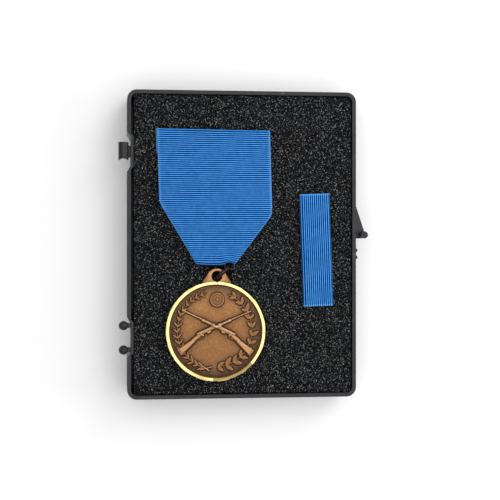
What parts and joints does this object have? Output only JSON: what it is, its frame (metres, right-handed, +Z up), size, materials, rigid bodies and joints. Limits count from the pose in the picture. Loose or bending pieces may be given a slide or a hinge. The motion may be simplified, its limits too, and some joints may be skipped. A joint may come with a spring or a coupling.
{
  "type": "service medal set",
  "caption": "Round bronze medal on a folded blue ribbon with a pin brooch, and a matching ribbon bar, laid on foam in the tray half of a black presentation case.",
  "frame": {"origin": "centre of the tray's underside, on the table", "axes": "+X to the latch side, +Y to the end where the medal ribbon starts, +Z up out of the open tray"},
  "size_m": [0.0772, 0.0952, 0.0186],
  "materials": {
    "case_plastic": "black moulded plastic, satin, lightly rubbed on the rim",
    "foam": "charcoal open-cell foam with a grainy, faintly sparkling face",
    "ribbon_cloth": "plain blue ribbed ribbon, fine cross ribs, soft silk sheen",
    "medal_bronze": "antiqued bronze, dark in the hollows, rubbed lighter on the raised work",
    "rim_gold": "bright cut rim, polished, with flats left by the cutter",
    "dark_bronze": "very dark chemical bronze",
    "brooch_brass": "pressed brass sheet, satin",
    "clutch_brass": "drawn brass, polished",
    "pin_steel": "nickel-plated wire and strip"
  },
  "bodies": {
    "case": {"case_tray": "case_plastic", "foam_pad": "foam"},
    "drape": {"ribbon_drape": "ribbon_cloth", "brooch_channel": "brooch_brass", "ribbon_hanger": "dark_bronze", "pin_ears": "brooch_brass", "pin_rivet": "pin_steel", "pin_catch": "brooch_brass"},
    "pin": {"brooch_pin": "pin_steel"},
    "ring": {"jump_ring": "dark_bronze"},
    "medal": {"medal_disc": "medal_bronze", "bright_rim": "rim_gold"},
    "bar": {"bar_ribbon": "ribbon_cloth", "bar_plate": "brooch_brass", "bar_posts": "pin_steel"},
    "upper_clutch": {"upper_clutch_cap": "clutch_brass", "upper_clutch_jaws": "pin_steel"},
    "lower_clutch": {"lower_clutch_cap": "clutch_brass", "lower_clutch_jaws": "pin_steel"}
  },
  "joints": [
    {"name": "medal_lift", "type": "slide", "parent": "case", "child": "drape", "axis": [0, 0, 1], "range_m": [0, 0.03]},
    {"name": "pin_open", "type": "hinge", "parent": "drape", "child": "pin", "pos_m": [-0.0228, 0.0309, 0.0118], "axis": [0, 1, 0], "range_deg": [0, 18]},
    {"name": "ring_swing", "type": "hinge", "parent": "drape", "child": "ring", "pos_m": [-0.0042, -0.00755, 0.015], "axis": [-1, 0, 0], "range_deg": [0, 25]},
    {"name": "medal_swing", "type": "hinge", "parent": "ring", "child": "medal", "pos_m": [-0.00859, -0.01043, 0.015], "axis": [-1, 0, 0], "range_deg": [0, 18]},
    {"name": "bar_lift", "type": "slide", "parent": "case", "child": "bar", "axis": [0, 0, 1], "range_m": [0, 0.025]},
    {"name": "upper_clutch_pull", "type": "slide", "parent": "bar", "child": "upper_clutch", "axis": [0, 0, -1], "range_m": [0, 0.0065]},
    {"name": "lower_clutch_pull", "type": "slide", "parent": "bar", "child": "lower_clutch", "axis": [0, 0, -1], "range_m": [0, 0.0065]}
  ]
}
